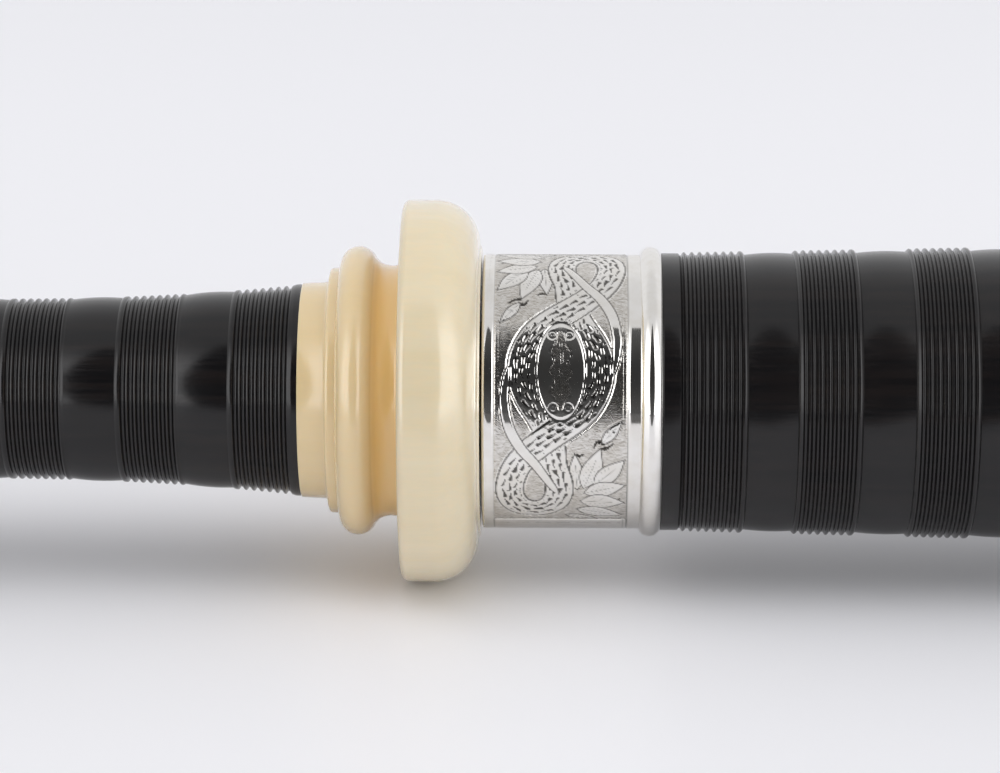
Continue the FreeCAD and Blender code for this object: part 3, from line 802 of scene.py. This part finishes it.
def plate(u, v):
    """(depth, matted, stain) of one engraved plate. depth is in mm, the others run from 0 to 1."""
    depth, matted, tarnish_and_shade = np.zeros_like(u), np.ones_like(u), np.zeros_like(u)
    within = (np.abs(u) < PLATE[0] - 0.05) & (np.abs(v) < PLATE[1])

    def lay(inside, cuts, ground=0.0, dark=None):
        """Puts a motif over what is there: its cuts count inside it and round its edge."""
        dark = 0.95 * np.clip((cuts - 0.03) / 0.04, 0, 1) if dark is None else dark
        depth[:] = np.where(inside, cuts, np.maximum(depth, cuts))
        tarnish_and_shade[:] = np.where(inside, dark, np.maximum(tarnish_and_shade, dark))
        matted[inside] = ground

    for side in (1, -1):  # sprays, and the same sprays turned half round
        for root, tip, fat in SPRAY:
            lay(*leaflet(side * u, side * v, root, tip, fat))
    sixth = np.pi / 6
    for low, high, over in ((3, 7, 0), (9, 13, 0), (1, 3, 1), (7, 9, 1)):  # strands, under ones first
        across, along, inside = strand_fields(u, v, low * sixth - 0.02, high * sixth + 0.02)
        s = np.abs(across)
        covered = inside & (s < 0.5 * BAND + (0.18 if over else 0.06))
        rims = groove(s - 0.5 * BAND, 0.38, 0.12)
        line = groove(s - 0.5 * BAND + 0.36, 0.12, 0.03)
        cuts, dark = scales(across, along)
        field = s < 0.5 * BAND - 0.40
        everywhere = np.maximum(np.maximum(rims, line), cuts * field)
        # painted shade: a rim cut is darkened only on its inner wall, its outer wall left lit; the
        # scales bring tarnish and painted shade
        shade = np.maximum(np.clip(rims / 0.04, 0, 0.9) * (s < 0.5 * BAND + 0.03), 0.95 * dark * field)
        depth[covered] = everywhere[covered]
        tarnish_and_shade[covered] = shade[covered]
        matted[covered] = 0.0
    off_eye = EYE[0] * (np.hypot(u / EYE[0], v / EYE[1]) - 1.0)
    ring = groove(off_eye, 0.28, 0.09) * (off_eye < 0.17)
    lay(off_eye < 0.17, ring, 0.0, 0.5 * np.clip((ring - 0.06) / 0.03, 0, 1))
    inside, cuts = leaf_medallion(u, v)
    lay(inside, cuts, 0.8, 0.5 * cuts / 0.1)
    for berry in ((-0.95, 4.15), (0.95, 4.15), (-0.85, -4.2), (0.85, -4.2)):
        off = np.hypot(u - berry[0], v - berry[1])
        dimple = 0.05 * np.clip(1 - off / BERRY, 0, 1)
        lay(off < BERRY, groove(off - BERRY, 0.22, 0.09) + dimple, 0.0, 0 * off)
    for side in (1, -1):  # single bold strokes on the ground, and plain tendrils over the strands
        for path, fat in STROKES:
            inside = ribbon(side * u, side * v, path, fat)[0] & (matted > 0.5)
            depth[inside], tarnish_and_shade[inside] = 0.10, 1.0
        lay(*ribbon(side * u, side * v, TENDRIL, 0.60))
    # borders of the plate
    for distance, width, deep in ((0.0, 0.30, 0.12), (0.40, 0.16, 0.07)):
        depth = np.maximum(depth, groove(np.abs(u) - (PLATE[0] - distance), width, deep))
        ends = groove(np.abs(v) - (PLATE[1] - distance), width, deep)
        depth = np.where(np.abs(u) < PLATE[0], np.maximum(depth, ends), depth)
    matted = matted * within
    depth = np.where(within | (np.abs(np.abs(u) - PLATE[0]) < 0.2), depth, 0.0)
    border = np.clip((depth - 0.07) / 0.04, 0, 1) * (np.abs(u) > PLATE[0] - 0.2)
    return depth, matted, np.maximum(tarnish_and_shade * within, 0.5 * border)


def engraving(u, around_mm, girth):
    """The tube's whole girth: two plates, back to back, with a plain strip of dashes between them."""
    half = girth / 2
    v = np.mod(around_mm + half / 2, half) - half / 2
    depth, matted, tarnish_and_shade = plate(u, v)
    strip = np.abs(v) > PLATE[1] + 0.05
    dash = groove(np.abs(v) - PLATE[1] - 1.2, 0.24, 0.07) * (np.mod(u + 0.4, 2.3) < 1.5)
    dash = dash * (np.abs(u) < 6.8)
    rim = np.abs(u) - PLATE[0]
    edge = np.maximum(groove(rim, 0.30, 0.12), groove(rim + 0.40, 0.16, 0.07))
    depth = np.where(strip, np.maximum(dash, edge), depth)
    tarnish_and_shade = np.where(strip, np.clip(depth / 0.08 - 0.4, 0, 0.8), tarnish_and_shade)
    # the ground is matted with short wriggled strokes of the graver
    wave = 0.35 * np.sin(2.6 * u) + 0.22 * np.sin(5.1 * u + 1.3 * around_mm)
    stroke = np.mod((around_mm + wave) / 0.36, 1.0)
    broken = speckle(np.floor((around_mm + wave) / 0.36), np.floor(u / 0.62)) > 0.25
    strokes = np.clip(1.0 - np.abs(stroke - 0.5) / 0.36, 0.0, 1.0) * broken
    depth = depth + matted * (0.006 + 0.018 * strokes)
    return depth, matted * (0.45 + 0.55 * strokes), tarnish_and_shade


# %% [markdown]
# ### The tube
#
# The tube is the same kind of grid as the wood, with more points: about one every eighth of a
# millimetre where it is engraved. The depth is taken off the radius. How dark each point is, from
# tarnish and from painted shade, and how matted it is go into the mesh as attributes, so the
# metal's finish can follow the drawing.

# %% Engraved metal
def engraved_silver(g):
    tarnish_and_shade_level = g.node("Attribute", attribute_name="tarnish_and_shade").outputs["Fac"]
    matted = g.node("Attribute", attribute_name="matted").outputs["Fac"]
    colour, rub, normal = clean_silver(g)
    wriggle = g.noise(g.place((1.6, 6.0, 6.0)), 1.0, 3.0, 0.65)
    speck = g.noise(g.place((5.0, 9.0, 9.0)), 1.0, 1.0, 0.5)
    dull = g.math("MULTIPLY", matted, g.ramp(wriggle, 0.32, 0.62, 0.22, 0.88))
    colour = g.mix(dull, colour, (0.30, 0.262, 0.21, 1))
    # tarnish is left at the bottom of the cuts, where no cloth reaches, and painted shade darkens one
    # wall of the scale and rim cuts
    colour = g.mix(g.math("MULTIPLY", tarnish_and_shade_level, 0.95), colour, (0.045, 0.040, 0.034, 1))
    rough = g.math("ADD", g.ramp(rub, 0.3, 0.8, 0.06, 0.12), g.math("MULTIPLY", matted, 0.13))
    grain = g.math("MULTIPLY", g.math("ADD", wriggle, g.math("MULTIPLY", speck, 0.5)), matted)
    g.surface(colour, rough, Metallic=1.0, Normal=g.bump(grain, 0.055, 0.5, normal))


engraved = finish_of("engraved_silver", engraved_silver)

# %% Ferrules
FERRULE_R, TUBE_BORE = 15.8, 14.9
GIRTH = 2 * np.pi * FERRULE_R
FACE = math.radians(26.0)  # how far up from the front the middle of a plate is


def ferrule(name, mouth, step, body, node, pitch):
    """The engraved tube. step is 1 where it runs towards +X from its mouth, and -1 otherwise.

    The radius at (x, angle) is FERRULE_R less the drawing's depth there, rounded off at the mouth.
    """
    distance = np.concatenate([
        [0.0, 0.02, 0.08, 0.18, 0.35, 0.7, 1.1, 1.28],
        np.arange(1.36, 16.46, pitch),
        [16.6, 16.85, 17.4, 18.6, 20.35],
    ])
    edge = 0.35
    fall = np.clip(edge - distance, 0, edge)
    radius = FERRULE_R - (edge - np.sqrt(edge**2 - fall**2))
    n = int(round(GIRTH / pitch))
    angle = np.linspace(0, 2 * np.pi, n, endpoint=False)
    u, arc_mm = np.meshgrid(distance - 8.9, (angle - FACE) * FERRULE_R, indexing="ij")
    depth, matted, tarnish_and_shade = engraving(step * u, arc_mm, GIRTH)
    r = radius[:, None] - depth
    x = mouth + step * distance[:, None] + 0 * r
    y, z = -r * np.cos(angle), r * np.sin(angle)
    outer = np.stack([x, y, z], -1)
    bore = TUBE_BORE + 0 * x[:2]
    inner = np.stack([x[[-1, 0]], -bore * np.cos(angle), bore * np.sin(angle)], -1)
    grid = np.concatenate([outer, inner])
    if step > 0:
        grid = grid[:, ::-1]
        matted, tarnish_and_shade = matted[:, ::-1], tarnish_and_shade[:, ::-1]
    mesh = grid_mesh(name, grid)
    for label, values in (("matted", matted), ("tarnish_and_shade", tarnish_and_shade)):
        full = np.concatenate([values, np.zeros_like(values[:2])])
        layer = mesh.attributes.new(label, "FLOAT", "POINT")
        layer.data.foreach_set("value", full.ravel().astype(np.float32))
    place(name, mesh, engraved, body, node, crisp=60)


ferrule("top_ferrule", 208.2, 1, "top_section", "top_ferrule_band", 0.132)
ferrule("stock_ferrule", 92.0, -1, "stock", "stock_ferrule_band", 0.17)


# %% [markdown]
# ### Beads
#
# A half-round wire is soldered round the foot of each ferrule. Its section is an arc that stands a
# little under a half circle on the tube.

# %% Beads
WIRE_R = 16.7  # radius over the wire


def wire_bead(name, start, end, body, node):
    """A ring of half-round wire on a ferrule, between two stations along X."""
    foot = FERRULE_R + 0.15 * (WIRE_R - FERRULE_R)
    round_wire = arc((start, foot), ((start + end) / 2, WIRE_R), (end, foot), 22)
    outline = [run((start, FERRULE_R)), round_wire, run((end, FERRULE_R))]
    turned(name, outline, silver, body, node, n=160, crisp=50)


wire_bead("top_bead", 226.05, 228.55, "top_section", "top_ferrule_bead")
wire_bead("stock_bead", 71.65, 74.15, "stock", "stock_ferrule_bead")


# %% [markdown]
# ## Stock
#
# The stock is the socket that is tied into the bag. Its foot has a hollow for the tie and a bead that
# keeps the bag from slipping off. Behind the ferrule it is combed like the rest.

# %% Stock wood
def stock_ridges(x):
    """The ridge line of the stock swells very slightly towards its ferrule."""
    return 15.7 + 0.3 * x / 92.0


stock_starts = [35.96 + k * COMB_PERIOD for k in range(3)]
stock_end = stock_starts[-1] + COMB_WIDTH
stock_foot = 71.65  # where the ferrule ends
swell = float(stock_ridges(24.0)) - 0.15
stock_land = float(stock_ridges(stock_foot)) - 0.1
stock_outline = [
    run((0.35, 7.95), (0.1, 8.05), (0.0, 8.3), (0.0, 14.9), (0.12, 15.2), (0.4, 15.3), (4.5, 15.3)),
    arc((4.5, 15.3), (7.5, 13.7), (10.5, 15.3), 24),
    run((10.5, 15.3), (15.0, 15.3)),
    arc((15.0, 15.3), (16.6, 16.7), (18.2, 15.3), 24),
    arc((18.2, 15.3), (24.0, swell), (35.96, float(stock_ridges(35.96)) - 0.4), 30),
    comb_row(stock_starts, stock_ridges, TOP_SINKS, LOWER_LEAN),
    run((stock_end + 0.02, stock_land - 0.15), (stock_end + 0.12, stock_land)),
    run((stock_foot - 0.15, stock_land), (stock_foot, stock_land - 0.1)),
    run((stock_foot, 14.9), (91.9, 14.9), (91.9, 8.3), (91.8, 8.05), (91.55, 7.95)),
]
turned("stock_wood", stock_outline, wood, "stock", "stock_body")

# %% [markdown]
# ## Ring cap and bush
#
# The bell ends in a ring of the same resin, with one fine line round it, and a flanged bush narrows
# its mouth. Both have rounded edges, because a polished edge is never sharp.

# %% Cap and bush
cap_outline = [
    run((403.0, 17.0), (403.0, 20.4)),
    arc((403.0, 20.4), (403.15, 20.75), (403.5, 20.9), 8),
    run((403.5, 20.9), (405.9, 20.9)),
    arc((405.95, 20.88), (406.25, 20.6), (406.55, 20.88), 7),
    run((406.6, 20.9), (414.9, 20.9)),
    arc((414.9, 20.9), (416.02, 20.42), (416.5, 19.3), 16),
    run((416.5, 19.3), (416.5, 17.2)),
    arc((416.5, 17.2), (416.0, 16.2), (415.0, 15.6), 12),
    run((415.0, 15.6), (413.5, 15.4), (413.5, 17.0)),
]
turned("ring_cap_resin", cap_outline, ivory, "top_section", "ring_cap", 144)
bush_outline = [
    run((405.6, 5.5), (405.5, 5.6), (405.5, 10.95), (413.55, 10.95), (413.55, 13.4)),
    arc((413.55, 13.4), (414.6, 12.9), (415.05, 11.8), 14),
    run((415.05, 11.8), (415.05, 6.2)),
    arc((415.05, 6.2), (414.84, 5.71), (414.35, 5.5), 10),
]
turned("bush_resin", bush_outline, ivory, "bush", "bell_bush", 144)

# %% [markdown]
# ## Wound thread
#
# The joints are lapped with waxed hemp, and the reed's tongue is bound with fine red thread. Thread
# could be a long curve with a bevel, but a lapping is a solid layer, so only its outside matters. The
# radius is a row of half rounds that moves on by one pitch in each turn, which closes on itself.

# %% Thread
def thread(colour, dark, pitch, plies, rough):
    """A material for thread wound at this pitch: oblique plies with a painted lit crown and painted
    shade in each hollow, fibre, and patches of wax.
    """
    def make(g):
        x, y, z = g.node("SeparateXYZ", {"Vector": g.place()}).outputs
        angle = g.math("ARCTAN2", z, y)
        turns = g.math("MULTIPLY", x, 6.2832 / pitch)
        along = g.math("ADD", g.math("MULTIPLY", angle, float(plies)), turns)
        ply = g.math("ADD", g.math("MULTIPLY", g.math("SINE", along), 0.5), 0.5)
        fibre = g.noise(g.place((3.0, 7.0, 7.0)), 1.0, 3.0, 0.7)
        patch = g.noise(g.place((0.25, 0.25, 0.25)), 1.0, 3.0, 0.6)
        # painted shade: each ply's crown takes the lit colour and its hollow the dark one
        tone = g.mix(g.ramp(ply, 0.0, 0.7), dark, colour)
        tone = g.mix(g.ramp(fibre, 0.35, 0.7, 0.0, 0.5), tone, dark)
        dulled = tuple(0.5 * c for c in colour[:3]) + (1,)
        tone = g.mix(g.ramp(patch, 0.40, 0.70, 0.0, 0.35), tone, dulled)
        waxed = g.ramp(patch, 0.35, 0.7, rough, rough - 0.15)
        normal = g.bump(g.math("ADD", ply, fibre), 0.06, 0.7)
        g.surface(tone, waxed, Normal=normal, Sheen_Weight=0.15)
    return make


def lapping(name, start, end, inner, outer, pitch, material, body, slot, node, n):
    """Thread wound side by side from start to end.

    With s from -1 to 1 across one thread, which is 2 (x / pitch - angle / 2 pi) - 1 taken over one
    turn, the radius is outer - pitch / 2 (1 - sqrt(1 - 0.8 s^2)). The turns drift a little, by a
    slow wave that is whole on every round, as they do when they are wound by hand.
    """
    x = np.linspace(start, end, int(round((end - start) / pitch * 8)) + 1)
    angle = np.linspace(0, 2 * np.pi, n, endpoint=False)
    gx, ga = np.meshgrid(x, angle, indexing="ij")
    drift = 0.10 * np.sin(ga + 1.7 * gx / pitch) + 0.07 * np.sin(2 * ga - 0.9 * gx / pitch)
    s = 2 * np.mod(gx / pitch - ga / (2 * np.pi) + drift, 1.0) - 1
    r = outer - 0.5 * pitch * (1 - np.sqrt(1 - 0.8 * s**2))
    r = r - 0.02 * (1 + np.sin(3 * ga + 0.8 * gx))
    ease = np.clip(np.minimum(gx - start, end - gx) / (0.5 * pitch), 0, 1)
    r = inner + 0.02 + (r - inner - 0.02) * np.sqrt(ease)
    outside = np.stack([gx, r * np.cos(ga), r * np.sin(ga)], -1)
    ends = np.array([[end, inner], [start, inner]])
    grid = np.concatenate([outside, around(ends, n)])
    place(name, grid_mesh(name, grid), material, body, node, crisp=70)


THICK, FINE = 0.62, 0.40  # pitches of the two threads
HEMP = (0.50, 0.36, 0.18, 1), (0.16, 0.10, 0.045, 1)  # lit ply and shaded hollow
RED = (0.35, 0.035, 0.025, 1), (0.09, 0.008, 0.008, 1)
hemp = finish_of("waxed_hemp", thread(*HEMP, THICK, 40, 0.62))
fine_hemp = finish_of("fine_hemp", thread(*HEMP, FINE, 28, 0.62))
red = finish_of("red_thread", thread(*RED, FINE, 28, 0.5))
for row in (
    ("tenon_lapping", 63.0, 88.0, 6.7, 7.91, THICK, hemp, "tenon_lapping", "waxed_hemp", "tenon_hemp"),
    ("pin_lapping", 248.0, 267.0, 7.2, 8.21, THICK, hemp, "lower_section", "waxed_hemp", "pin_hemp"),
    ("seat_lapping", 61.5, 69.5, 3.7, 4.26, FINE, fine_hemp, "reed", "waxed_hemp", "reed_seat_hemp"),
    ("tongue_thread", 46.2, 49.8, 3.93, 4.6, FINE, red, "reed", "binding_thread", "tongue_binding"),
):
    lapping(*row, n=64 if row[5] == FINE else 72)

# %% [markdown]
# ## Reed
#
# The reed's tube and screw are moulded and turned so plainly that their CAD surfaces are kept, and
# only get finishes. The bridle and the seal are rubber rings with rounded sections. The tongue is
# a cane-coloured composite with fibres along it.

# %% Reed finishes
def moulded(g):
    grain = g.noise(g.place(), 5.0, 3.0, 0.6)
    wear = g.noise(g.place((0.3, 0.3, 0.3)), 1.0, 4.0, 0.6)
    colour = g.mix(g.ramp(wear, 0.35, 0.7), (0.040, 0.036, 0.036, 1), (0.065, 0.058, 0.055, 1))
    g.surface(colour, g.ramp(wear, 0.3, 0.7, 0.38, 0.52), Normal=g.bump(grain, 0.02, 0.5))


def composite(g):
    fibre = g.noise(g.place((0.12, 6.0, 6.0)), 1.0, 4.0, 0.65)
    fleck = g.noise(g.place((0.6, 2.5, 2.5)), 1.0, 2.0, 0.5)
    colour = g.mix(g.ramp(fibre, 0.35, 0.65), (0.72, 0.58, 0.33, 1), (0.55, 0.40, 0.19, 1))
    colour = g.mix(g.ramp(fleck, 0.62, 0.75, 0.0, 0.5), colour, (0.38, 0.25, 0.11, 1))
    g.surface(colour, 0.42, Normal=g.bump(fibre, 0.03, 0.5))


def soft_rubber(g):
    grain = g.noise(g.place(), 6.0, 3.0, 0.6)
    dust = g.noise(g.place((0.8, 0.8, 0.8)), 1.0, 4.0, 0.6)
    colour = g.mix(g.ramp(dust, 0.45, 0.75), (0.022, 0.022, 0.023, 1), (0.055, 0.052, 0.05, 1))
    g.surface(colour, 0.62, Normal=g.bump(grain, 0.015, 0.4))


def turned_brass(g):
    rings = g.noise(g.place((9.0, 0.4, 0.4)), 1.0, 2.0, 0.5)
    cloud = g.noise(g.place(), 0.9, 4.0, 0.6)
    colour = g.mix(g.ramp(cloud, 0.35, 0.7), (0.80, 0.59, 0.28, 1), (0.62, 0.42, 0.17, 1))
    rough = g.ramp(cloud, 0.3, 0.7, 0.16, 0.30)
    g.surface(colour, rough, Metallic=1.0, Normal=g.bump(rings, 0.006, 0.5))


def refinish(node, material):
    """The CAD piece keeps its surface and takes a finer material."""
    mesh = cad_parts[node].data
    mesh.materials.clear()
    mesh.materials.append(material)
    print(f"{node}: {material.name}")


refinish("reed_body", finish_of("reed_plastic", moulded))
refinish("reed_tongue", finish_of("reed_tongue", composite))
refinish("tuning_screw", finish_of("brass", turned_brass))
rubber = finish_of("rubber", soft_rubber)


def rubber_ring(name, start, end, inner, outer, corner, body, node):
    """A ring whose section is a rectangle with its outer corners rounded."""
    low, cut = outer - corner, 0.29 * corner  # 0.29 is 1 less the cosine of 45 degrees
    outline = [
        run((start, inner), (start, low)),
        arc((start, low), (start + cut, outer - cut), (start + corner, outer), 8),
        arc((end - corner, outer), (end - cut, outer - cut), (end, low), 8),
        run((end, low), (end, inner)),
    ]
    turned(name, outline, rubber, body, node)


rubber_ring("bridle_band", 39.6, 42.6, 3.98, 5.0, 0.9, "bridle", "reed_bridle")
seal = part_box("screw_seal")
seal_start, seal_end = seal[0][0] / MM, seal[1][0] / MM
rubber_ring("seal_ring", seal_start, seal_end, 2.28, 3.2, 0.42, "seal", "screw_seal")
